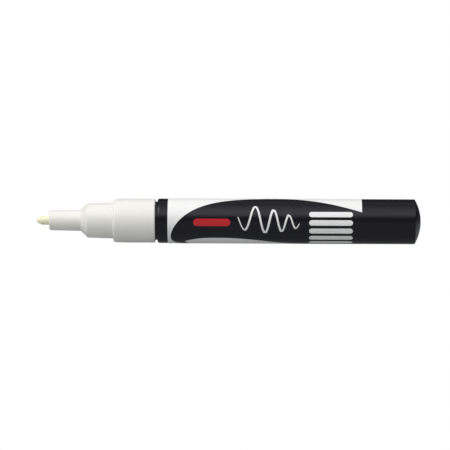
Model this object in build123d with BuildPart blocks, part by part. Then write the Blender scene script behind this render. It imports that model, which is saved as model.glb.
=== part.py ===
from build123d import *

import os
from math import cos, degrees, hypot, pi, sin, sqrt

# Liquid chalk marker with a sprung valve tip, uncapped and lying on its side.
# +X runs from the writing tip to the tail and +Z is up. The origin is on the surface
# that it lies on, under the middle of its length. Sizes are in millimetres.

# Lengths along the outside, from the tip to the tail
nib_reach = 4.4
nose_length = 10.5
shoulder_length = 2.35
grip_length = 8.55
collar_length = 14.0
neck_gap = 0.75
barrel_length = 85.2
plug_rim = 0.3
dome_height = 2.05

# Diameters, and the radial steps between one stretch of the outside and the next
barrel_diameter = 14.96
land_step = 0.18
collar_draft = 0.1
collar_step = 1.25
grip_draft = 0.22
nib_diameter = 3.0
nose_wall = 1.95
nose_draft = 0.17

# Label film
label_setback = 3.25
label_length = 64.8
label_thickness = 0.02
label_seam_gap = 0.4

# Edges
nose_edge = 0.6
shoulder_edge = 0.3
collar_edge = 0.9
collar_lead_in = 4.5
collar_rear_edge = 0.3
land_edge = 0.45
inner_edge = 0.25

# Fits, all radial
fit_clearance = 0.05
nib_clearance = 0.05

# Walls
barrel_wall = 1.2
barrel_shoulder_wall = 2.0
neck_wall = 1.1
collar_wall = 0.85
collar_front_wall = 2.0
holder_wall = 1.2

# Snap bead that holds the collar on the neck
bead_radius = 0.5
bead_height = 0.25
bead_setback = 4.0

# Feed grooves in the nose, round the nib
groove_count = 4
groove_width = 0.8
groove_depth = 0.6
groove_lip = 2.0

# Nib ends
nib_point_length = 2.6
nib_tip_radius = 0.45

# Valve
flange_thickness = 1.2
seat_thickness = 1.6
case_wall = 0.9
ink_gap = 0.4
cup_wall = 0.5
cup_depth = 4.5
cup_floor = 1.5
seal_thickness = 0.8
seal_overlap = 0.5
head_thickness = 1.4
pin_diameter = 2.0
pin_overhang = 0.6
valve_travel = 2.0
retainer_thickness = 1.5
inlet_count = 4
inlet_margin = 0.3

# Spring, at its fitted length
wire_diameter = 0.4
spring_clearance = 0.25
spring_length = 9.0
spring_turns = 7
arcs_per_turn = 4

# Tail plug
spigot_length = 5.0
spigot_wall = 1.2
spigot_edge = 0.4

# Mixing ball, loose in the ink chamber
ball_diameter = 6.0
ball_gap = 0.1
ball_stop_gap = 0.3

# Radii that follow
barrel_radius = barrel_diameter / 2
label_radius = barrel_radius + label_thickness
chamber_radius = barrel_radius - barrel_wall
land_radius = barrel_radius - land_step
collar_radius = land_radius
collar_front_radius = collar_radius - collar_draft
grip_rear_radius = collar_front_radius - collar_step
grip_front_radius = grip_rear_radius - grip_draft
nib_radius = nib_diameter / 2
nib_bore_radius = nib_radius + nib_clearance
nose_rear_radius = nib_bore_radius + nose_wall
nose_front_radius = nose_rear_radius - nose_draft
cavity_radius = grip_front_radius - holder_wall
skirt_radius = collar_radius - collar_wall
neck_radius = skirt_radius - fit_clearance
neck_bore_radius = neck_radius - neck_wall
case_radius = neck_bore_radius - fit_clearance
case_bore_radius = case_radius - case_wall
retainer_bore_radius = case_bore_radius + case_wall / 2
stem_radius = nib_bore_radius + cup_wall
seat_bore_radius = stem_radius + ink_gap
head_radius = seat_bore_radius + seal_overlap
pin_radius = pin_diameter / 2
wire_radius = wire_diameter / 2
spring_radius = pin_radius + spring_clearance + wire_radius
spigot_radius = chamber_radius - fit_clearance
ball_radius = ball_diameter / 2

# Stations along the pen
overall_length = (
    nib_reach + nose_length + shoulder_length + grip_length + collar_length
    + neck_gap + barrel_length + plug_rim + dome_height
)
x_tip = -overall_length / 2
x_nose = x_tip + nib_reach
x_shoulder = x_nose + nose_length
x_grip = x_shoulder + shoulder_length
x_collar = x_grip + grip_length
x_collar_rear = x_collar + collar_length
x_barrel = x_collar_rear + neck_gap
x_label = x_barrel + label_setback
x_label_rear = x_label + label_length
x_plug = x_barrel + barrel_length
x_dome = x_plug + plug_rim
x_tail = x_dome + dome_height

# Stations of the valve, built back from the collar's front wall
x_flange = x_collar + collar_front_wall
x_neck = x_flange + flange_thickness
x_seat = x_flange + seat_thickness
x_head = x_seat + seal_thickness
x_head_rear = x_head + head_thickness
x_retainer = x_head_rear + spring_length
x_case_rear = x_retainer + retainer_thickness
x_pin_end = x_case_rear + pin_overhang
x_cup_floor = x_head - cup_floor
x_cup = x_cup_floor - cup_depth

# The pen's axis, and the plane for half sections: its x runs along the pen, its y outwards
axis_height = label_radius
pen_axis = Axis((0, 0, axis_height), (1, 0, 0))
half_section = Plane(origin=(0, 0, axis_height), x_dir=(1, 0, 0), z_dir=(0, -1, 0))
back_half_section = Plane(origin=(0, 0, axis_height), x_dir=(1, 0, 0), z_dir=(0, 0, 1))


def cross_section(x):
    return Plane(origin=(x, 0, axis_height), x_dir=(0, 1, 0), z_dir=(1, 0, 0))


# Barrel: ink chamber behind, reduced neck in front, with a snap bead for the collar
bead_x = x_collar_rear - bead_setback
bead_centre = neck_radius + bead_height - bead_radius
x_chamber_cone = x_barrel + barrel_shoulder_wall
x_chamber = x_chamber_cone + chamber_radius - neck_bore_radius
land_corner = min(land_edge, (land_radius - neck_radius) / 2)

with BuildPart() as barrel:
    with BuildSketch(half_section):
        with BuildLine():
            FilletPolyline(
                (x_neck, neck_bore_radius),
                (x_neck, neck_radius),
                (x_barrel, neck_radius),
                (x_barrel, land_radius),
                (x_label, land_radius),
                (x_label, barrel_radius),
                (x_plug, barrel_radius),
                (x_plug, chamber_radius),
                (x_chamber, chamber_radius),
                (x_chamber_cone, neck_bore_radius),
                radius=[0, inner_edge, 0, land_corner, 0, 0, 0, 0, 0, 0],
                close=True,
            )
        make_face()
    revolve(axis=pen_axis)
    with BuildSketch(half_section):
        with Locations((bead_x, bead_centre)):
            Circle(bead_radius)
    revolve(axis=pen_axis)

# Label: film wrapped once round the barrel, its two edges a seam gap apart at the back
seam_angle = degrees(label_seam_gap / barrel_radius)

with BuildPart() as barrel_label:
    with BuildSketch(back_half_section.rotated((seam_angle / 2, 0, 0))):
        with BuildLine():
            Polyline(
                (x_label, barrel_radius),
                (x_label, label_radius),
                (x_label_rear, label_radius),
                (x_label_rear, barrel_radius),
                close=True,
            )
        make_face()
    revolve(axis=pen_axis, revolution_arc=360 - seam_angle)

# Tail plug: hollow spigot pushed into the chamber, rim on the barrel's rear face, domed end
x_spigot = x_plug - spigot_length
spigot_bore_radius = spigot_radius - spigot_wall
spigot_corner = min(spigot_edge, spigot_wall / 2)

with BuildPart() as tail_plug:
    with BuildSketch(half_section):
        with BuildLine():
            dome = TangentArc((x_tail, 0), (x_dome, barrel_radius), tangent=(0, 1))
            FilletPolyline(
                dome @ 1,
                (x_plug, barrel_radius),
                (x_plug, spigot_radius),
                (x_spigot, spigot_radius),
                (x_spigot, spigot_bore_radius),
                (x_plug, spigot_bore_radius),
                (x_plug, 0),
                dome @ 0,
                radius=[0, 0, spigot_corner, 0, 0, 0],
            )
        make_face()
    revolve(axis=pen_axis)

# Front holder: nose that guides the nib, shoulder, grip, and a collar that snaps over the neck
x_cavity = x_grip + holder_wall
nose_corner = min(nose_edge, nose_wall / 3)
collar_corner = min(collar_edge, 0.7 * collar_step)
collar_rear_corner = min(collar_rear_edge, collar_wall / 2)
skirt_corner = min(inner_edge, collar_wall / 3)
x_groove = x_nose + groove_lip

with BuildPart() as front_holder:
    with BuildSketch(half_section):
        with BuildLine():
            FilletPolyline(
                (x_nose, nib_bore_radius),
                (x_nose, nose_front_radius),
                (x_shoulder, nose_rear_radius),
                (x_grip, grip_front_radius),
                (x_collar, grip_rear_radius),
                (x_collar, collar_front_radius),
                (x_collar + collar_lead_in, collar_radius),
                (x_collar_rear, collar_radius),
                (x_collar_rear, skirt_radius),
                (x_flange, skirt_radius),
                (x_flange, cavity_radius),
                (x_cavity, cavity_radius),
                (x_shoulder, nib_bore_radius),
                radius=[
                    inner_edge, nose_corner, shoulder_edge, shoulder_edge, 0, collar_corner,
                    0, collar_rear_corner, skirt_corner, 0, 0, 0, 0,
                ],
                close=True,
            )
        make_face()
    revolve(axis=pen_axis)
    with BuildSketch(half_section):
        with Locations((bead_x, bead_centre)):
            Circle(bead_radius + fit_clearance)
    revolve(axis=pen_axis, mode=Mode.SUBTRACT)
    with BuildSketch(cross_section(x_groove)):
        with PolarLocations(0, groove_count):
            Rectangle(nib_bore_radius + groove_depth, groove_width, align=(Align.MIN, Align.CENTER))
    extrude(amount=x_cavity - x_groove, mode=Mode.SUBTRACT)

# Nib: felt rod with the same point on both ends, its rear end in the stem's cup
point_run = nib_point_length - nib_tip_radius
ogive_radius = (point_run**2 + nib_radius**2 - nib_tip_radius**2) / (2 * (nib_radius - nib_tip_radius))
ogive_drop = ogive_radius - nib_radius
to_tip = nib_tip_radius / hypot(point_run, ogive_drop)
x_nib_middle = (x_tip + x_cup_floor) / 2

with BuildPart() as nib:
    with BuildSketch(half_section):
        with BuildLine():
            ogive = TangentArc(
                (x_tip + nib_point_length, nib_radius),
                (x_tip + nib_tip_radius - point_run * to_tip, ogive_drop * to_tip),
                tangent=(-1, 0),
            )
            tip = TangentArc(ogive @ 1, (x_tip, 0), tangent=ogive % 1)
            Polyline(tip @ 1, (x_nib_middle, 0), (x_nib_middle, nib_radius), ogive @ 0)
        make_face()
    revolve(axis=pen_axis)
    mirror(about=cross_section(x_nib_middle))

# Valve case: flange clamped between the collar's front wall and the neck, seat wall, open tube
with BuildPart() as valve_case:
    with BuildSketch(half_section):
        with BuildLine():
            Polyline(
                (x_flange, seat_bore_radius),
                (x_flange, neck_radius),
                (x_neck, neck_radius),
                (x_neck, case_radius),
                (x_case_rear, case_radius),
                (x_case_rear, retainer_bore_radius),
                (x_retainer, retainer_bore_radius),
                (x_retainer, case_bore_radius),
                (x_seat, case_bore_radius),
                (x_seat, seat_bore_radius),
                close=True,
            )
        make_face()
    revolve(axis=pen_axis)

# Valve stem: cup for the nib in front, head that carries the seal, guide pin behind
with BuildPart() as valve_stem:
    with BuildSketch(half_section):
        with BuildLine():
            FilletPolyline(
                (x_cup, nib_bore_radius),
                (x_cup, stem_radius),
                (x_head, stem_radius),
                (x_head, head_radius),
                (x_head_rear, head_radius),
                (x_head_rear, pin_radius),
                (x_pin_end, pin_radius),
                (x_pin_end, 0),
                (x_cup_floor, 0),
                (x_cup_floor, nib_bore_radius),
                radius=[0, min(inner_edge, cup_wall / 2), 0, 0, inner_edge, 0, inner_edge, 0, 0, 0],
                close=True,
            )
        make_face()
    revolve(axis=pen_axis)

# Valve seal: soft ring between the stem's head and the seat
with BuildPart() as valve_seal:
    with BuildSketch(cross_section(x_seat)):
        Circle(head_radius)
        Circle(stem_radius, mode=Mode.SUBTRACT)
    extrude(amount=seal_thickness)

# Spring retainer: disc in the rear of the case, with the pin's guide hole and the ink inlets
guide_radius = pin_radius + nib_clearance
spring_outer_radius = spring_radius + wire_radius
inlet_mid = (spring_outer_radius + case_bore_radius) / 2
inlet_radius = (case_bore_radius - spring_outer_radius) / 2 - inlet_margin

with BuildPart() as spring_retainer:
    with BuildSketch(cross_section(x_retainer)):
        Circle(retainer_bore_radius - fit_clearance)
        Circle(guide_radius, mode=Mode.SUBTRACT)
        with PolarLocations(inlet_mid, inlet_count):
            Circle(inlet_radius, mode=Mode.SUBTRACT)
    extrude(amount=retainer_thickness)


# Valve spring: one helix of wire between the stem's head and the retainer
spring_pitch = (spring_length - wire_diameter) / spring_turns
spring_slope = spring_pitch / (2 * pi)
turn_gap = spring_pitch - wire_diameter
pressed_turn_gap = turn_gap - valve_travel / spring_turns


def helix_point(turn):
    angle = 2 * pi * turn
    x = x_head_rear + wire_radius + spring_pitch * turn
    return Vector(x, spring_radius * cos(angle), axis_height + spring_radius * sin(angle))


def helix_tangent(turn):
    angle = 2 * pi * turn
    return Vector(spring_slope, -spring_radius * sin(angle), spring_radius * cos(angle)).normalized()


def helix_arcs(turn, next_turn):
    # Two arcs that leave and reach the helix along its own direction, and meet smoothly
    start, end = helix_point(turn), helix_point(next_turn)
    leaving, reaching = helix_tangent(turn), helix_tangent(next_turn)
    chord = end - start
    along = chord.dot(leaving + reaching)
    spread = 2 * (1 - leaving.dot(reaching))
    handle = (sqrt(along**2 + spread * chord.dot(chord)) - along) / spread
    first_corner = start + leaving * handle
    last_corner = end - reaching * handle
    middle = (first_corner + last_corner) * 0.5
    TangentArc(start, middle, tangent=leaving)
    TangentArc(middle, end, tangent=last_corner - first_corner)


with BuildPart() as valve_spring:
    with BuildLine() as wire_path:
        for step in range(spring_turns * arcs_per_turn):
            helix_arcs(step / arcs_per_turn, (step + 1) / arcs_per_turn)
    with BuildSketch(Plane(origin=helix_point(0), z_dir=helix_tangent(0))):
        Circle(wire_radius)
    sweep(path=wire_path.wires()[0])

# Mixing ball: at rest on the chamber's lowest line, midway between its two stops
ball_height = axis_height - chamber_radius + ball_gap + ball_radius
ball_front_stop = max(x_pin_end + valve_travel, x_chamber) + ball_stop_gap + ball_radius
ball_rear_stop = x_spigot - ball_stop_gap - ball_radius

with BuildPart() as mixing_ball:
    with Locations(((ball_front_stop + ball_rear_stop) / 2, 0, ball_height)):
        Sphere(ball_radius)

# One file for each piece
pieces = {
    "barrel": barrel,
    "barrel_label": barrel_label,
    "tail_plug": tail_plug,
    "front_holder": front_holder,
    "nib": nib,
    "valve_case": valve_case,
    "valve_stem": valve_stem,
    "valve_seal": valve_seal,
    "valve_spring": valve_spring,
    "spring_retainer": spring_retainer,
    "mixing_ball": mixing_ball,
}

os.makedirs("parts", exist_ok=True)
for name, piece in pieces.items():
    piece.part.label = name
    export_step(piece.part, f"parts/{name}.step")

print(f"overall length {overall_length:.2f}, widest diameter {2 * label_radius:.2f}")
print(f"gap between spring turns {turn_gap:.2f}, with the nib pressed {pressed_turn_gap:.2f}")
print(f"ball run each way {(ball_rear_stop - ball_front_stop) / 2:.2f}")
print(f"nib length {x_cup_floor - x_tip:.2f}")
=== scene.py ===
import math

import bpy
from mathutils import Matrix, Vector


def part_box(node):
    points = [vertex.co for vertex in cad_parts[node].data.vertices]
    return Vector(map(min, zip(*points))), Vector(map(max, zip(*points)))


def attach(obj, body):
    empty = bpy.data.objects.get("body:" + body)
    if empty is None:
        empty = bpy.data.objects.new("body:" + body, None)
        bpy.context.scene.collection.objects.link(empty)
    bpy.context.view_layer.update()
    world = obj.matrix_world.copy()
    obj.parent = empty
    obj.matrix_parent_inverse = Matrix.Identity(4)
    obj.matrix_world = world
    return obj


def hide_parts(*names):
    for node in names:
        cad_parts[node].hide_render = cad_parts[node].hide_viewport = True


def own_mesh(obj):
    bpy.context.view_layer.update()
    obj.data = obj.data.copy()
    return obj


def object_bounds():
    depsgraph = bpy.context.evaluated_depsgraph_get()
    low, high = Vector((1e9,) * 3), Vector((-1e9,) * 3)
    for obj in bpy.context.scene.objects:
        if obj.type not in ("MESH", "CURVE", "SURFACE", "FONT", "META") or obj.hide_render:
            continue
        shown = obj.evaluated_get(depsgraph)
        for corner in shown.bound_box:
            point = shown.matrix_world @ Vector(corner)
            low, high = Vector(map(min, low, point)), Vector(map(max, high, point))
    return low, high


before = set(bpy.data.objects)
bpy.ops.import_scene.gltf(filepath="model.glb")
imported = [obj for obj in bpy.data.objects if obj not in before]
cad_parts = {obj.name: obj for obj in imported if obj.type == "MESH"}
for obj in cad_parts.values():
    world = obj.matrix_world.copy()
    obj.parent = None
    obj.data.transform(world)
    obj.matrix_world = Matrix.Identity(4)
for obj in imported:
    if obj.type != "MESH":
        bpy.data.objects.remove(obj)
cadLow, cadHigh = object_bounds()
mm = 0.001
axisHeight = (cadLow.z + cadHigh.z) / 2
print("frame loaded:", len(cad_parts), "nodes")


# node trees

def plug(socket, value):
    if isinstance(value, Wire):
        socket.id_data.links.new(value.socket, socket)
    else:
        socket.default_value = value


class Wire:  # an output socket: sums on it add Math nodes, and node() adds any other kind
    def __init__(self, socket):
        self.socket = socket

    # Sockets go by name, or by number where a node repeats a name
    def node(self, kind, settings=None, sockets=None, out=0):
        made = self.socket.id_data.nodes.new(kind)
        for name, value in (settings or {}).items():
            setattr(made, name, value)
        for name, value in (sockets or {}).items():
            plug(made.inputs[name], value)
        return Wire(made.outputs[out]) if made.outputs else None

    def sibling(self, name):
        return Wire(self.socket.node.outputs[name])

    def math(self, operation, *others):  # a Math node with self as its first value
        return self.node("ShaderNodeMath", {"operation": operation}, dict(enumerate((self,) + others)))

    def __add__(self, other):
        return self.math("ADD", other)

    def __radd__(self, other):
        return self.math("ADD", other)

    def __sub__(self, other):
        return self.math("SUBTRACT", other)

    def __rsub__(self, other):
        return self.math("MULTIPLY_ADD", -1.0, other)

    def __mul__(self, other):
        return self.math("MULTIPLY", other)

    def __rmul__(self, other):
        return self.math("MULTIPLY", other)

    def __truediv__(self, other):
        return self.math("DIVIDE", other)

    def __rtruediv__(self, other):
        return self.math("POWER", -1.0) * other

    def __neg__(self):
        return self.math("MULTIPLY", -1.0)

    def __abs__(self):
        return self.math("ABSOLUTE")

    def __gt__(self, other):
        return self.math("GREATER_THAN", other)

    def __lt__(self, other):
        return self.math("LESS_THAN", other)

    def sqrt(self):
        return self.math("SQRT")

    def sin(self):
        return self.math("SINE")

    def cos(self):
        return self.math("COSINE")

    def clamp(self):
        return self.node("ShaderNodeClamp", {}, {"Value": self})

    def edge(self, width):  # 0 to 1 across a printed edge, 0.5 on the line itself
        return (self / width + 0.5).clamp()

    def mix(self, colourA, colourB):  # self is the share of the second colour
        return self.node("ShaderNodeMix", {"data_type": "RGBA"}, {0: self, 6: colourA, 7: colourB}, out=2)


def newTree(name, inputs):
    tree = bpy.data.node_groups.new(name, "GeometryNodeTree")
    for label, kind in inputs.items():
        tree.interface.new_socket(name=label, in_out="INPUT", socket_type="NodeSocket" + kind)
    tree.interface.new_socket(name="Geometry", in_out="OUTPUT", socket_type="NodeSocketGeometry")
    given = tree.nodes.new("NodeGroupInput")
    return {socket.name: Wire(socket) for socket in given.outputs if socket.name}


def closeTree(geometry, material):
    real = geometry.node("GeometryNodeRealizeInstances", {}, {0: geometry})
    painted = real.node("GeometryNodeSetMaterial", {}, {"Geometry": real, "Material": material})
    painted.node("NodeGroupOutput", {}, {0: painted})
    return painted.socket.id_data


def smoothWithCreases(mesh, creaseAngle):
    smooth = mesh.node("GeometryNodeSetShadeSmooth", {"domain": "FACE"}, {"Geometry": mesh})
    bend = smooth.node("GeometryNodeInputMeshEdgeAngle")
    return smooth.node("GeometryNodeSetShadeSmooth", {"domain": "EDGE"}, {
        "Geometry": smooth, "Selection": bend > creaseAngle, "Shade Smooth": False})


# Runs a tree on a mesh and keeps the result as the plain mesh of a new object
def growPiece(name, tree, mesh, values):
    piece = bpy.data.objects.new(name, mesh)
    bpy.context.scene.collection.objects.link(piece)
    grower = piece.modifiers.new(name, "NODES")
    grower.node_group = tree
    for item in tree.interface.items_tree:
        if item.in_out == "INPUT" and item.name in values:
            grower[item.identifier] = values[item.name]
    depsgraph = bpy.context.evaluated_depsgraph_get()
    grown = bpy.data.meshes.new_from_object(piece.evaluated_get(depsgraph), depsgraph=depsgraph)
    piece.modifiers.clear()
    piece.data = grown
    grown.name = name
    print("piece", name, len(grown.polygons), "faces")
    return piece


# turned pieces: a half section in the X and radius plane, spun round the marker's axis

def turnedTree():
    given = newTree("turnedPiece", {
        "Half Section": "Geometry", "Segments": "Int", "Axis Height": "Float", "First Angle": "Float",
        "Sweep": "Float", "Capped": "Int", "Crease Angle": "Float", "Merge Distance": "Float",
        "Material": "Material",
    })
    section, segments, capped = given["Half Section"], given["Segments"], given["Capped"]
    columns = segments + 1 + 2 * capped  # a capped sweep has a column more at each end, drawn into a point
    rows = section.node("GeometryNodeAttributeDomainSize", {"component": "MESH"}, {0: section})
    grid = section.node("GeometryNodeMeshGrid", {}, {"Vertices X": rows, "Vertices Y": columns})
    index = section.node("GeometryNodeInputIndex")
    row = (index / columns).math("FLOOR")
    column = index - row * columns
    place = section.node("GeometryNodeInputPosition")
    point = section.node("GeometryNodeSampleIndex", {"data_type": "FLOAT_VECTOR"}, {
        "Geometry": section, "Value": place, "Index": row})
    middle = section.node("GeometryNodeAttributeStatistic", {"data_type": "FLOAT_VECTOR"}, {
        "Geometry": section, "Attribute": place})
    span = segments * 0.5
    isCap = capped * (abs(column - capped - span) > span + 0.5)
    drawn = isCap.node("ShaderNodeMix", {"data_type": "VECTOR"}, {0: isCap, 4: point, 5: middle}, out=1)
    along = drawn.node("ShaderNodeSeparateXYZ", {}, {0: drawn})
    radius = along.sibling("Y")
    share = ((column - capped) / segments).clamp()
    angle = given["First Angle"] + given["Sweep"] * share
    spun = angle.node("ShaderNodeCombineXYZ", {}, {
        "X": along, "Y": -(radius * angle.cos()), "Z": given["Axis Height"] - radius * angle.sin()})
    layoutX = along.sibling("Z")  # turnedPiece keeps each ring's place in the bake layout there
    bakeSpot = angle.node("ShaderNodeCombineXYZ", {}, {"X": layoutX, "Y": share})
    onPoints = bakeSpot.node(
        "GeometryNodeFieldOnDomain", {"data_type": "FLOAT_VECTOR", "domain": "POINT"}, {"Value": bakeSpot})
    mapped = grid.node(
        "GeometryNodeStoreNamedAttribute", {"data_type": "FLOAT2", "domain": "CORNER"},
        {"Geometry": grid, "Name": "OFBake", "Value": onPoints})
    turned = mapped.node("GeometryNodeSetPosition", {}, {"Geometry": mapped, "Position": spun})
    closed = turned.node(
        "GeometryNodeMergeByDistance", {}, {"Geometry": turned, "Distance": given["Merge Distance"]})
    outward = closed.node("GeometryNodeFlipFaces", {}, {"Mesh": closed})
    return closeTree(smoothWithCreases(outward, given["Crease Angle"]), given["Material"])


turning = {
    "arcStep": math.radians(7.5),  # one facet of a rounded corner
    "guard": 0.1 * mm,             # ring beside a rounded corner, which keeps long walls evenly shaded
    "segments": 192,
    "creaseAngle": math.radians(32),
    "mergeDistance": 0.0002 * mm,
    "shownShare": 0.9,             # of the bake layout's width; what lies inside shares the rest
    "turnedTree": turnedTree(),
}


# Half section from corners (x, radius, rounding), with the rounded ones replaced by arcs
def halfSection(corners):
    points = []
    last = len(corners) - 1
    for k, (x, r, rounding) in enumerate(corners):
        here = Vector((x, r))
        if not rounding or k in (0, last):
            points.append(here)
            continue
        back = (Vector(corners[k - 1][:2]) - here).normalized()
        ahead = (Vector(corners[k + 1][:2]) - here).normalized()
        turn = math.pi - back.angle(ahead)
        start = here + back * rounding * math.tan(turn / 2)
        centre = here + (back + ahead).normalized() * rounding / math.cos(turn / 2)
        hand = math.copysign(1, ahead.cross(back))
        steps = max(2, math.ceil(turn / turning["arcStep"]))
        points.append(start + back * turning["guard"])
        for step in range(steps + 1):
            points.append(centre + Matrix.Rotation(hand * turn * step / steps, 2) @ (start - centre))
        points.append(points[-1] + ahead * turning["guard"])
    return points


# The first shownCount points of a section are those that show
def turnedPiece(name, points, shownCount, material, firstAngle=math.pi / 2, sweep=2 * math.pi, capped=0):
    shownShare = turning["shownShare"]
    runs = [(b - a).length for a, b in zip(points, points[1:])]
    shownRun = sum(runs[:shownCount - 1])
    innerRun = sum(runs[shownCount - 1:])
    walked = 0.0
    rings = []
    for k, point in enumerate(points):
        if k < shownCount:
            spot = shownShare * walked / shownRun
        else:
            spot = shownShare + (1 - shownShare) * (walked - shownRun) / innerRun
        rings.append((point.x, point.y, spot))
        walked += runs[k] if k < len(runs) else 0
    section = bpy.data.meshes.new(name + "Section")
    section.from_pydata(rings, [(k, k + 1) for k in range(len(rings) - 1)], [])
    return growPiece(name, turning["turnedTree"], section, {
        "Segments": turning["segments"], "Axis Height": axisHeight,
        "First Angle": firstAngle, "Sweep": sweep, "Capped": capped,
        "Crease Angle": turning["creaseAngle"], "Merge Distance": turning["mergeDistance"],
        "Material": material,
    })


def settle(piece, body, slot, *nodes):
    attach(piece, body)
    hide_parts(*nodes)


# finishes

def newFinish(name, gloss):
    material = bpy.data.materials.new(name)
    material.use_nodes = True
    shader = material.node_tree.nodes["Principled BSDF"]
    for socket, value in gloss.items():
        shader.inputs[socket].default_value = value
    place = material.node_tree.nodes.new("ShaderNodeTexCoord")
    return material, shader, Wire(place.outputs["Object"])


def speckle(place, size, stretch=(1, 1, 1), detail=2.0, roughness=0.5):
    scale = tuple(share / size for share in stretch)
    scaled = place.node("ShaderNodeMapping", {}, {"Vector": place, "Scale": scale})
    return place.node("ShaderNodeTexNoise", {}, {
        "Vector": scaled, "Scale": 1.0, "Detail": detail, "Roughness": roughness})


def relief(height, depth):
    return height.node("ShaderNodeBump", {}, {"Strength": 1.0, "Distance": depth, "Height": height})


# Moulded plastic: a fine spark-eroded grain, faint flow shades, and a polish that varies a little
def mouldedPlastic(name, look):
    material, shader, place = newFinish(name, {"IOR": look["ior"]})
    flow = speckle(place, look["flowSize"], look["flowStretch"], detail=3.0)
    grain = speckle(place, look["grainSize"], detail=3.0)
    plug(shader.inputs["Base Color"], flow.mix(look["shade"], look["tint"]))
    plug(shader.inputs["Roughness"], look["roughness"] + look["polishSpread"] * (flow + grain - 1.0))
    plug(shader.inputs["Normal"], relief(grain, look["grainDepth"]))
    return material


whiteLook = {
    "tint": (0.85, 0.842, 0.8, 1), "shade": (0.82, 0.807, 0.76, 1), "ior": 1.47,
    "roughness": 0.36, "polishSpread": 0.08, "flowSize": 9 * mm, "flowStretch": (0.35, 1, 1),
    "grainSize": 0.12 * mm, "grainDepth": 0.002 * mm,
}
blackLook = {
    "tint": (0.0024, 0.0023, 0.0072, 1), "shade": (0.0014, 0.0013, 0.0054, 1), "ior": 1.38,
    "roughness": 0.3, "polishSpread": 0.08, "flowSize": 11 * mm, "flowStretch": (0.35, 1, 1),
    "grainSize": 0.15 * mm, "grainDepth": 0.0018 * mm,
}
valveLook = {
    "tint": (0.74, 0.745, 0.71, 1), "shade": (0.69, 0.69, 0.65, 1), "ior": 1.5,
    "roughness": 0.42, "polishSpread": 0.1, "flowSize": 4 * mm, "flowStretch": (0.35, 1, 1),
    "grainSize": 0.1 * mm, "grainDepth": 0.001 * mm,
}
rubberLook = {
    "tint": (0.045, 0.044, 0.042, 1), "shade": (0.03, 0.03, 0.03, 1), "ior": 1.5,
    "roughness": 0.62, "polishSpread": 0.12, "flowSize": 2 * mm, "flowStretch": (1, 1, 1),
    "grainSize": 0.08 * mm, "grainDepth": 0.002 * mm,
}
whitePlastic = mouldedPlastic("whitePlastic", whiteLook)
blackPlastic = mouldedPlastic("blackPlastic", blackLook)
valvePlastic = mouldedPlastic("valvePlastic", valveLook)
sealRubber = mouldedPlastic("sealRubber", rubberLook)


# Pressed fibre: lengthwise strands, pale and dark, with open pores between them
def pressedFibre(name, look):
    material, shader, place = newFinish(name, {"Roughness": look["roughness"], "IOR": look["ior"]})
    strands = speckle(place, look["strandSize"], look["strandStretch"], detail=4.0, roughness=0.6)
    pores = speckle(place, look["poreSize"], look["poreStretch"])
    share = look["poreShare"]
    felt = (1 - share) * strands + share * pores
    plug(shader.inputs["Base Color"], felt.mix(look["shade"], look["tint"]))
    plug(shader.inputs["Normal"], relief(felt, look["depth"]))
    return material


feltLook = {
    "tint": (0.955, 0.925, 0.745, 1), "shade": (0.925, 0.88, 0.61, 1), "roughness": 0.55, "ior": 1.7,
    "strandSize": 0.07 * mm, "strandStretch": (0.07, 1, 1),
    "poreSize": 0.05 * mm, "poreStretch": (0.5, 1, 1), "poreShare": 0.3, "depth": 0.009 * mm,
}
nibFelt = pressedFibre("nibFelt", feltLook)


# Steel: drawn or polished, with fine lines and a dulled film
def bareSteel(name, look):
    material, shader, place = newFinish(name, {"Metallic": 1.0})
    lines = speckle(place, look["lineSize"], look["lineStretch"], detail=4.0)
    dulling = speckle(place, look["filmSize"])
    plug(shader.inputs["Base Color"], dulling.mix(look["shade"], look["tint"]))
    plug(shader.inputs["Roughness"], look["roughness"] + look["polishSpread"] * lines)
    plug(shader.inputs["Normal"], relief(lines, look["lineDepth"]))
    return material


springLook = {
    "tint": (0.62, 0.62, 0.62, 1), "shade": (0.5, 0.5, 0.51, 1), "roughness": 0.22, "polishSpread": 0.2,
    "lineSize": 0.05 * mm, "lineStretch": (1, 0.2, 0.2), "lineDepth": 0.001 * mm, "filmSize": 1.5 * mm,
}
ballLook = {
    "tint": (0.72, 0.72, 0.73, 1), "shade": (0.64, 0.64, 0.66, 1), "roughness": 0.08, "polishSpread": 0.12,
    "lineSize": 0.2 * mm, "lineStretch": (1, 1, 1), "lineDepth": 0.0006 * mm, "filmSize": 2.5 * mm,
}
springSteel = bareSteel("springSteel", springLook)
ballSteel = bareSteel("ballSteel", ballLook)


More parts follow.
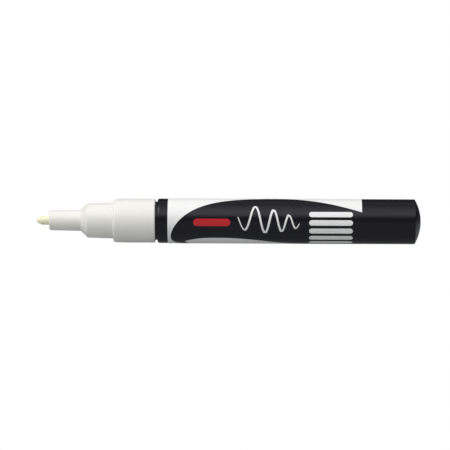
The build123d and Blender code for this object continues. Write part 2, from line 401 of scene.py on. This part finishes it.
# Printed film: a white ground with a black panel, blank bars, a red bar and a chalk stroke.
# Places on it are millimetres along the marker and millimetres round it, downwards from the front line.
filmPrint = {
    "white": (0.86, 0.86, 0.852, 1), "black": (0.0022, 0.0021, 0.0070, 1), "red": (0.52, 0.018, 0.024, 1),
    "chalk": (0.86, 0.86, 0.85, 1), "edge": 0.07,
    "panelPeak": 16.0, "panelFront": 35.04, "panelMiddle": 6.0, "panelRise": 16.4, "panelDrop": 11.5,
    "panelBow": 1.78, "panelFall": 0.335, "panelRound": 2.5,
    "bayLow": (-3.4, 6.375), "bayFront": 0.00155, "bayRear": 0.0071,
    "bayTip": (-14.1, 8.9), "baySlope": 0.75,
    "barCount": 5, "barPitch": 2.814, "barFirst": -2.25, "barMiddle": 34.04, "barHalf": 6.32,
    "barRadius": 0.91,
    "redMiddle": (-5.4, 0.55), "redHalf": 4.9, "redRadius": 1.25,
    "strokeEnds": (3.2, 23.6), "strokeHeights": (-1.2, 0.9), "strokeSwings": (5.6, 2.3), "strokeTurns": 3.5,
    "strokeHurry": 0.35, "strokeHalf": 0.33, "strokeEndSwing": 0.35, "strokeEndHalf": 0.4,
    "strokeGrain": 0.3, "grainSize": 0.25 * mm, "strokeRoughness": 0.06,
    "ior": 1.39, "roughness": 0.3, "polishSpread": 0.08,
    "rippleSize": 2.2 * mm, "rippleStretch": (0.6, 1, 1), "rippleDepth": 0.0035 * mm,
}


def bar(along, around, half, radius, width):
    outside = (abs(along) - half).math("MAXIMUM", 0.0)
    return (radius - (outside * outside + around * around).sqrt()).edge(width)


# Long oval in front, its top falling in a shallow slope behind the peak, with a white bay cut in from below
def blackPanel(along, around, look):
    width = look["edge"]
    fromPeak = along - look["panelPeak"]
    oval = 1.0 - abs(fromPeak / look["panelFront"]).math("POWER", look["panelBow"])
    bow = oval.math("MAXIMUM", 0.0).sqrt()
    front = look["panelMiddle"] - look["panelRise"] * bow
    rise = look["panelFall"] * fromPeak
    peak = look["panelMiddle"] - look["panelRise"] - look["panelRound"]
    rear = peak + (rise * rise + look["panelRound"] ** 2).sqrt()
    behind = fromPeak > 0.0
    top = front + behind * (rear - front)
    belly = look["panelMiddle"] + look["panelDrop"] * bow
    bayX, bayLow = look["bayLow"]
    tipX, tipLow = look["bayTip"]
    fromLow = along - bayX
    steep = look["bayFront"] * abs(fromLow * fromLow * fromLow)
    shallow = look["bayRear"] * fromLow * fromLow
    bay = bayLow + steep + (fromLow > 0.0) * (shallow - steep)
    inBay = (along - (tipX + look["baySlope"] * (around - tipLow))) > 0.0
    bottom = belly + inBay * (bay - belly)
    nose = (along - (look["panelPeak"] - look["panelFront"])).edge(width)
    return (around - top).edge(width) * (bottom - around).edge(width) * nose


# Blank bars, one below the other
def barRows(along, around, look):
    pitch = look["barPitch"]
    fromBars = around - (look["barFirst"] - pitch / 2)
    offBar = fromBars.math("FLOORED_MODULO", pitch) - pitch / 2
    inBars = (fromBars > 0.0) * (fromBars < pitch * look["barCount"])
    return inBars * bar(along - look["barMiddle"], offBar, look["barHalf"], look["barRadius"], look["edge"])


# Wavy stroke, thinner towards its ends and broken by grain
def chalkStroke(along, around, grain, look):
    strokeStart, strokeEnd = look["strokeEnds"]
    travel = ((along - strokeStart) / (strokeEnd - strokeStart)).clamp()
    taper = (4.0 * travel * (1.0 - travel)).sqrt()
    hurry = look["strokeHurry"]  # the swings get closer, and smaller, towards the end
    turns = 2 * math.pi * look["strokeTurns"]
    phase = turns * travel * (1 - hurry + hurry * travel)
    wide, narrow = look["strokeSwings"]
    early, late = look["strokeHeights"]
    endSwing, endHalf = look["strokeEndSwing"], look["strokeEndHalf"]
    swing = (wide + (narrow - wide) * travel) * (endSwing + (1 - endSwing) * taper)
    middle = early + (late - early) * travel + swing * phase.sin()
    slope = swing * (1 - hurry + 2 * hurry * travel) * phase.cos() * (turns / (strokeEnd - strokeStart))
    off = abs(around - middle) / (1.0 + slope * slope).sqrt()
    half = look["strokeHalf"] * (endHalf + (1 - endHalf) * taper) + look["strokeGrain"] * (grain - 0.5)
    return (half - off).edge(2 * look["edge"]) * (travel > 0.0) * (travel < 1.0)


def printedFilm(name, look):
    material, shader, place = newFinish(name, {"IOR": look["ior"]})
    spot = place.node("ShaderNodeSeparateXYZ", {}, {0: place})
    along = spot / mm
    down = axisHeight - spot.sibling("Z")
    around = down.math("ARCTAN2", -spot.sibling("Y")) * (axisHeight / mm)
    redX, redDown = look["redMiddle"]
    redBar = bar(along - redX, around - redDown, look["redHalf"], look["redRadius"], look["edge"])
    grain = speckle(place, look["grainSize"], detail=5.0, roughness=0.7)
    stroke = chalkStroke(along, around, grain, look)
    ground = blackPanel(along, around, look).mix(look["white"], look["black"])
    barred = barRows(along, around, look).mix(ground, look["white"])
    marked = redBar.mix(barred, look["red"])
    plug(shader.inputs["Base Color"], stroke.mix(marked, look["chalk"]))
    ripple = speckle(place, look["rippleSize"], look["rippleStretch"])
    polish = speckle(place, look["grainSize"])
    sheen = look["roughness"] + look["polishSpread"] * (polish + ripple - 1.0)
    plug(shader.inputs["Roughness"], sheen + look["strokeRoughness"] * stroke)
    plug(shader.inputs["Normal"], relief(ripple, look["rippleDepth"]))
    return material


labelFilm = printedFilm("labelFilm", filmPrint)
print("finishes made:", len(bpy.data.materials))


# front holder: nose, shoulder, grip and collar in one white moulding

holderLow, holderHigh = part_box("front_holder")
holder = {
    "nose": 10.5 * mm, "shoulder": 2.35 * mm, "grip": 8.55 * mm, "leadIn": 4.5 * mm,
    "noseFront": 3.33 * mm, "noseRear": 3.5 * mm, "gripFront": 5.73 * mm, "gripRear": 5.95 * mm,
    "collarFront": 7.2 * mm, "nibBore": 1.55 * mm, "cavity": 4.53 * mm, "skirt": 6.45 * mm,
    "frontWall": 2.0 * mm, "cavitySetback": 1.2 * mm, "lipDepth": 0.5 * mm,
    "noseEdge": 0.6 * mm, "boreEdge": 0.25 * mm, "shoulderEdge": 0.3 * mm, "collarEdge": 0.9 * mm,
    "collarRearEdge": 0.55 * mm, "rootEdge": 0.15 * mm, "skirtEdge": 0.1 * mm,
}
snap = {"setback": 4.0 * mm, "centre": 6.15 * mm, "radius": 0.5 * mm, "clearance": 0.05 * mm, "steps": 8}


# Round bead that holds the collar on the neck, and with a clearance the groove that takes it
def snapArc(wall, clearance):
    x = holderHigh.x - snap["setback"]
    radius = snap["radius"] + clearance
    half = math.acos((wall - snap["centre"]) / radius)
    turns = [half * (2 * k / snap["steps"] - 1) for k in range(snap["steps"] + 1)]
    return [(x + radius * math.sin(turn), snap["centre"] + radius * math.cos(turn), 0) for turn in turns]


def makeHolder(size):
    noseX, rearX = holderLow.x, holderHigh.x
    collarRadius = (holderHigh.z - holderLow.z) / 2
    shoulderX = noseX + size["nose"]
    gripX = shoulderX + size["shoulder"]
    collarX = gripX + size["grip"]
    flangeX = collarX + size["frontWall"]
    cavityX = gripX + size["cavitySetback"]
    outside = [
        (noseX + size["lipDepth"], size["nibBore"], 0),
        (noseX, size["nibBore"], size["boreEdge"]),
        (noseX, size["noseFront"], size["noseEdge"]),
        (shoulderX, size["noseRear"], size["shoulderEdge"]),
        (gripX, size["gripFront"], size["shoulderEdge"]),
        (collarX, size["gripRear"], size["rootEdge"]),
        (collarX, size["collarFront"], size["collarEdge"]),
        (collarX + size["leadIn"], collarRadius, 0),
        (rearX, collarRadius, size["collarRearEdge"]),
        (rearX, size["skirt"], size["skirtEdge"]),
    ]
    inside = [
        *reversed(snapArc(size["skirt"], snap["clearance"])),
        (flangeX, size["skirt"], 0),
        (flangeX, size["cavity"], 0),
        (cavityX, size["cavity"], 0),
        (shoulderX, size["nibBore"], 0),
        outside[0],
    ]
    points = halfSection(outside + inside)
    piece = turnedPiece("holderShell", points, len(points) - len(inside), whitePlastic)
    settle(piece, "marker_body", "white_plastic", "front_holder")


makeHolder(holder)


# label: thin film with its two edges a gap apart at the back

barrelLow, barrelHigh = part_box("barrel")
labelLow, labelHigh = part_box("barrel_label")
film = {"frontTrim": 0.2 * mm, "rearTrim": 0.25 * mm, "seamGap": 0.4 * mm, "shrink": 0.001 * mm}
labelFront = labelLow.x + film["frontTrim"]  # the film shows a little shorter than its solid
labelRear = labelHigh.x - film["rearTrim"]


def makeLabel(size):
    outer = (labelHigh.z - labelLow.z) / 2 - size["shrink"]
    inner = (barrelHigh.z - barrelLow.z) / 2 + size["shrink"]
    gapAngle = size["seamGap"] / inner
    corners = [
        (labelFront, inner, 0), (labelFront, outer, 0), (labelRear, outer, 0),
        (labelRear, inner, 0), (labelFront, inner, 0),
    ]
    shown = 3  # the front edge and the outer face
    firstAngle = gapAngle / 2 - math.pi  # angles start at the front, so the back is half a turn away
    sweep = 2 * math.pi - gapAngle
    piece = turnedPiece("labelWrap", halfSection(corners), shown, labelFilm, firstAngle, sweep, capped=1)
    settle(piece, "marker_body", "label_film", "barrel_label")


makeLabel(film)


# barrel: neck, front land and tube, with a shallow bed under the label

barrel = {
    "neck": 6.4 * mm, "neckBore": 5.3 * mm, "gap": 0.75 * mm, "shoulderWall": 2.0 * mm, "wall": 1.2 * mm,
    "landStep": 0.07 * mm, "landEdge": 0.45 * mm, "leadRun": 0.62 * mm, "leadDrop": 0.2 * mm,
    "leadBlend": 0.8 * mm, "neckEdge": 0.25 * mm, "bedDepth": 0.06 * mm, "bedMargin": 0.4 * mm,
}


def makeBarrel(size):
    radius = (barrelHigh.z - barrelLow.z) / 2
    land = radius - size["landStep"]
    bed = radius - size["bedDepth"]
    landX = holderHigh.x + size["gap"]
    rearX = barrelHigh.x
    coneX = landX + size["shoulderWall"]
    chamber = radius - size["wall"]
    outside = [
        (barrelLow.x, size["neckBore"], 0),
        (barrelLow.x, size["neck"], size["neckEdge"]),
        *snapArc(size["neck"], 0),
        (landX, size["neck"], 0),
        (landX, land - size["leadDrop"], size["landEdge"]),
        (landX + size["leadRun"], land, size["leadBlend"]),
        (labelFront, land, 0),
        (labelFront, radius, 0),
        (labelFront + size["bedMargin"], radius, 0),
        (labelFront + size["bedMargin"], bed, 0),
        (labelRear - size["bedMargin"], bed, 0),
        (labelRear - size["bedMargin"], radius, 0),
        (rearX, radius, 0),
    ]
    inside = [
        (rearX, chamber, 0),
        (coneX + chamber - size["neckBore"], chamber, 0),
        (coneX, size["neckBore"], 0),
        outside[0],
    ]
    points = halfSection(outside + inside)
    piece = turnedPiece("barrelShell", points, len(points) - len(inside), blackPlastic)
    settle(piece, "marker_body", "black_plastic", "barrel")


makeBarrel(barrel)


# tail plug: spigot in the chamber, thin rim, shallow dome with a ring groove round its gate

tailLow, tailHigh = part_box("tail_plug")
tail = {
    "rim": 0.3 * mm, "spigotGap": 0.05 * mm, "spigotWall": 1.2 * mm, "spigotEdge": 0.4 * mm,
    "domeSteps": 26, "gateSteps": 6, "gate": 1.3 * mm, "grooveWidth": 0.24 * mm, "grooveDepth": 0.09 * mm,
}


def makeTail(size):
    radius = (tailHigh.z - tailLow.z) / 2
    tailX, spigotX, seatX = tailHigh.x, tailLow.x, barrelHigh.x
    height = tailX - seatX - size["rim"]
    sphere = (radius ** 2 + height ** 2) / (2 * height)
    spigot = radius - barrel["wall"] - size["spigotGap"]
    bore = spigot - size["spigotWall"]

    def domeRun(fromRadius, toRadius, steps):
        radii = [fromRadius + (toRadius - fromRadius) * k / steps for k in range(steps + 1)]
        return [(tailX - sphere + math.sqrt(sphere ** 2 - r ** 2), r, 0) for r in radii]

    gate = size["gate"]
    grooveFloor = gate + size["grooveWidth"] / 2
    grooveX = tailX - sphere + math.sqrt(sphere ** 2 - grooveFloor ** 2) - size["grooveDepth"]
    outside = [(seatX, radius, 0)]
    outside += domeRun(radius, gate + size["grooveWidth"], size["domeSteps"])
    outside += [(grooveX, grooveFloor, 0)]
    outside += domeRun(gate, 0, size["gateSteps"])
    inside = [
        (seatX, 0, 0), (seatX, bore, 0), (spigotX, bore, 0), (spigotX, spigot, size["spigotEdge"]),
        (seatX, spigot, 0), outside[0],
    ]
    points = halfSection(outside + inside)
    piece = turnedPiece("tailDome", points, len(outside), blackPlastic)
    settle(piece, "marker_body", "black_plastic", "tail_plug")


makeTail(tail)


# nib: felt rod with a bullet point on both ends, and loose fibres laid along the end that writes

nibLow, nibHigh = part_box("nib")
nib = {
    "pointLength": 2.6 * mm, "tipRadius": 0.45 * mm, "tipSteps": 7, "ogiveSteps": 16, "trim": 0.018 * mm,
    "fibreDensity": 34 / mm ** 2, "fibreLength": 0.75 * mm, "fibreRadius": 0.011 * mm, "fibreSides": 5,
    "fibreSpread": (0.45, 1.15), "fibreSway": 0.16, "fibreSeed": 4, "fibreReach": 4.3 * mm,
}


def fibreTree():
    given = newTree("laidFibres", {
        "Rod": "Geometry", "Density": "Float", "Length": "Float", "Shortest": "Float", "Longest": "Float",
        "Radius": "Float", "Sides": "Int", "Sway": "Float", "Reach": "Float", "Rod Radius": "Float",
        "Axis Height": "Float", "Seed": "Int", "Material": "Material",
    })
    rod = given["Rod"]
    place = rod.node("GeometryNodeInputPosition")
    along = place.node("ShaderNodeSeparateXYZ", {}, {0: place})
    scatter = rod.node("GeometryNodeDistributePointsOnFaces", {}, {
        "Mesh": rod, "Selection": along < given["Reach"],
        "Density": given["Density"], "Seed": given["Seed"]})
    upright = scatter.node("FunctionNodeAlignRotationToVector", {"axis": "Z"}, {
        "Vector": scatter.sibling("Normal")})
    laid = upright.node(
        "FunctionNodeAlignRotationToVector", {"axis": "X", "pivot_axis": "Z"},
        {"Rotation": upright, "Vector": (1.0, 0.0, 0.0)})
    sway = laid.node("FunctionNodeRandomValue", {"data_type": "FLOAT"}, {
        2: -given["Sway"], 3: given["Sway"], "Seed": given["Seed"]}, out=1)
    swayTurn = sway.node("ShaderNodeCombineXYZ", {}, {"Z": sway})
    swayed = laid.node("FunctionNodeRotateRotation", {"rotation_space": "LOCAL"}, {
        "Rotation": laid, "Rotate By": swayTurn})
    rodShape = rod.node("GeometryNodeMeshCylinder", {}, {
        "Vertices": given["Sides"], "Radius": given["Radius"], "Depth": given["Length"]})
    fibre = rodShape.node("GeometryNodeTransform", {}, {
        "Geometry": rodShape, "Rotation": (0.0, math.pi / 2, 0.0)})
    spread = fibre.node("FunctionNodeRandomValue", {"data_type": "FLOAT"}, {
        2: given["Shortest"], 3: given["Longest"], "Seed": given["Seed"] + 1}, out=1)
    rise = along.sibling("Z") - given["Axis Height"]
    reachOut = (along.sibling("Y") * along.sibling("Y") + rise * rise).sqrt() / given["Rod Radius"]
    stretch = spread * reachOut  # short at the tip
    scale = stretch.node("ShaderNodeCombineXYZ", {}, {"X": stretch, "Y": 1.0, "Z": 1.0})
    coat = scatter.node("GeometryNodeInstanceOnPoints", {}, {
        "Points": scatter, "Instance": fibre, "Rotation": swayed, "Scale": scale})
    return closeTree(coat, given["Material"])


def makeNib(size):
    tipX, endX = nibLow.x + size["trim"], nibHigh.x
    radius = (nibHigh.z - nibLow.z) / 2 - size["trim"]
    tip = size["tipRadius"]
    run = size["pointLength"] - tip
    ogive = (run ** 2 + radius ** 2 - tip ** 2) / (2 * (radius - tip))
    drop = ogive - radius
    meet = math.atan2(run, drop)  # turn of the long arc from the rod to where the round tip takes over
    points = []
    for k in range(size["tipSteps"]):
        turn = math.pi / 2 + (meet - math.pi / 2) * k / size["tipSteps"]
        points.append(Vector((tipX + tip - tip * math.sin(turn), tip * math.cos(turn))))
    for k in range(size["ogiveSteps"] + 1):
        turn = meet * (1 - k / size["ogiveSteps"])
        x = tipX + size["pointLength"] - ogive * math.sin(turn)
        points.append(Vector((x, ogive * math.cos(turn) - drop)))
    points.append(Vector((points[-1].x + turning["guard"], radius)))
    shown = len(points) + 1  # the front point and the rod
    points += [Vector((tipX + endX - p.x, p.y)) for p in reversed(points)]
    piece = turnedPiece("feltNib", points, shown, nibFelt)
    settle(piece, "nib", "nib_felt", "nib")
    shortest, longest = size["fibreSpread"]
    fibres = growPiece("nibFibres", fibreTree(), piece.data.copy(), {
        "Density": size["fibreDensity"], "Length": size["fibreLength"],
        "Shortest": shortest, "Longest": longest,
        "Radius": size["fibreRadius"], "Sides": size["fibreSides"], "Sway": size["fibreSway"],
        "Reach": nibLow.x + size["fibreReach"], "Rod Radius": radius, "Axis Height": axisHeight,
        "Seed": size["fibreSeed"], "Material": nibFelt,
    })
    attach(fibres, "nib")


makeNib(nib)


# valve spring: wire coiled between the stem's head and its retainer

springLow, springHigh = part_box("valve_spring")
spring = {"turns": 7, "stepsPerTurn": 40, "wire": 0.4 * mm, "wireSides": 12}


def coilTree():
    given = newTree("coiledWire", {
        "Turns": "Float", "Steps": "Int", "Coil Radius": "Float", "Wire Radius": "Float", "Sides": "Int",
        "Run": "Float", "Start": "Vector", "Crease Angle": "Float", "Material": "Material",
    })
    radius = given["Coil Radius"]
    upright = radius.node("GeometryNodeCurveSpiral", {}, {
        "Resolution": given["Steps"], "Rotations": given["Turns"], "Height": given["Run"],
        "Start Radius": radius, "End Radius": radius})
    laid = upright.node("GeometryNodeTransform", {}, {
        "Geometry": upright, "Translation": given["Start"], "Rotation": (math.pi / 2, 0.0, math.pi / 2)})
    section = radius.node("GeometryNodeCurvePrimitiveCircle", {}, {
        "Resolution": given["Sides"], "Radius": given["Wire Radius"]})
    wire = laid.node("GeometryNodeCurveToMesh", {}, {
        "Curve": laid, "Profile Curve": section, "Fill Caps": True})
    return closeTree(smoothWithCreases(wire, given["Crease Angle"]), given["Material"])


def makeSpring(size):
    half = size["wire"] / 2
    length = springHigh.x - springLow.x
    coil = growPiece("valveCoil", coilTree(), bpy.data.meshes.new("coilStart"), {
        "Turns": size["turns"], "Steps": size["stepsPerTurn"], "Sides": size["wireSides"],
        "Coil Radius": (springHigh.z - springLow.z) / 2 - half, "Wire Radius": half,
        "Run": length - size["wire"], "Start": (springLow.x + half, 0.0, axisHeight),
        "Crease Angle": turning["creaseAngle"], "Material": springSteel,
    })
    settle(coil, "marker_body", "spring_steel", "valve_spring")
    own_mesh(coil)


makeSpring(spring)


# inner pieces keep their own solids and take their finishes

innerFinish = {
    "valve_case": valvePlastic, "valve_stem": valvePlastic, "spring_retainer": valvePlastic,
    "valve_seal": sealRubber, "mixing_ball": ballSteel,
}
for node, finish in innerFinish.items():
    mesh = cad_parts[node].data
    mesh.materials.clear()
    mesh.materials.append(finish)
print("inner pieces finished:", len(innerFinish))


# stage: pale floor that glows a little, white card behind, soft boxes above the front and at the left

stage = {
    "floorFront": -3.0, "floorBack": 3.0, "floorSide": 3.0, "floorTint": (0.22, 0.22, 0.218, 1),
    "floorShade": (0.21, 0.21, 0.208, 1), "floorCloud": 120 * mm, "floorRoughness": 0.85, "floorIor": 1.3,
    "floorGlow": (0.245, 0.253, 0.259, 1), "floorPower": 1.0,
    "cardY": 1.6, "cardHalf": 0.5, "cardTint": (1.0, 1.0, 1.0, 1),
    "room": (0.07, 0.07, 0.072, 1), "boxDistance": 1.0,
    "boxes": {  # turn to the left and elevation in degrees, width in metres, span in degrees, radiance
        "lowBox": (0, 33, 4.0, 14, 1.8),
        "mainBox": (0, 50, 4.0, 20, 1.55),
        "highBox": (0, 70, 4.0, 20, 1),
        "topBox": (0, 100, 4.0, 40, 0.35),
        "sideBox": (65, 47, 0.4, 28, 6.6),
    },
    "lens": 217.5, "eye": Vector((10.9 * mm, -906 * mm, 0)), "target": Vector((-1.1 * mm, 0, 6.17 * mm)),
    "roll": math.radians(0.24), "clip": (0.01, 10),
}


def flatCard(name, corners, material):
    mesh = bpy.data.meshes.new(name)
    mesh.from_pydata(corners, [], [tuple(range(len(corners)))])
    mesh.materials.append(material)
    card = bpy.data.objects.new(name, mesh)
    bpy.context.scene.collection.objects.link(card)


def layFloor(size):
    floorPaint, shader, place = newFinish("floorPaint", {
        "Roughness": size["floorRoughness"], "IOR": size["floorIor"],
        "Emission Color": size["floorGlow"], "Emission Strength": size["floorPower"]})
    cloud = speckle(place, size["floorCloud"])
    plug(shader.inputs["Base Color"], cloud.mix(size["floorShade"], size["floorTint"]))
    front, back, side = size["floorFront"], size["floorBack"], size["floorSide"]
    flatCard("floor", [(-side, front, 0), (side, front, 0), (side, back, 0), (-side, back, 0)], floorPaint)


# White to the camera and in reflections, and clear to the lamps' light
def standCard(size):
    cardPaint = bpy.data.materials.new("cardPaint")
    cardPaint.use_nodes = True
    cardPaint.node_tree.nodes.clear()
    path = Wire(cardPaint.node_tree.nodes.new("ShaderNodeLightPath").outputs["Is Camera Ray"])
    seen = (path + path.sibling("Is Glossy Ray") + path.sibling("Is Transmission Ray")).clamp()
    glow = path.node("ShaderNodeEmission", {}, {"Color": size["cardTint"], "Strength": 1.0})
    clear = path.node("ShaderNodeBsdfTransparent")
    shown = path.node("ShaderNodeMixShader", {}, {0: seen, 1: clear, 2: glow})
    path.node("ShaderNodeOutputMaterial", {}, {"Surface": shown})
    y, half = size["cardY"], size["cardHalf"]
    corners = [(-half, y, -half), (half, y, -half), (half, y, half), (-half, y, half)]
    flatCard("backCard", corners, cardPaint)


def lightRoom(size):
    world = bpy.data.worlds.new("dimRoom")
    world.use_nodes = True
    world.node_tree.nodes["Background"].inputs["Color"].default_value = size["room"]
    bpy.context.scene.world = world
    for name, (left, elevation, width, span, radiance) in size["boxes"].items():
        lamp = bpy.data.lights.new(name, "AREA")
        lamp.shape = "RECTANGLE"
        lamp.size = width
        lamp.size_y = 2 * size["boxDistance"] * math.tan(math.radians(span / 2))
        lamp.energy = radiance * math.pi * lamp.size * lamp.size_y
        softBox = bpy.data.objects.new(name, lamp)
        turn = Matrix.Rotation(math.radians(-left), 4, "Z")
        tilt = Matrix.Rotation(math.radians(90 - elevation), 4, "X")
        softBox.matrix_world = turn @ tilt @ Matrix.Translation((0, 0, size["boxDistance"]))
        bpy.context.scene.collection.objects.link(softBox)


def placeCamera(size):
    camera = bpy.data.objects.new("camera", bpy.data.cameras.new("camera"))
    camera.data.lens = size["lens"]
    camera.data.clip_start, camera.data.clip_end = size["clip"]
    look = (size["target"] - size["eye"]).to_track_quat("-Z", "Y")
    camera.matrix_world = (
        Matrix.Translation(size["eye"]) @ look.to_matrix().to_4x4() @ Matrix.Rotation(size["roll"], 4, "Z"))
    bpy.context.scene.collection.objects.link(camera)
    bpy.context.scene.camera = camera
    bpy.context.scene.view_settings.view_transform = "Standard"


layFloor(stage)
standCard(stage)
lightRoom(stage)
placeCamera(stage)
print("stage set")
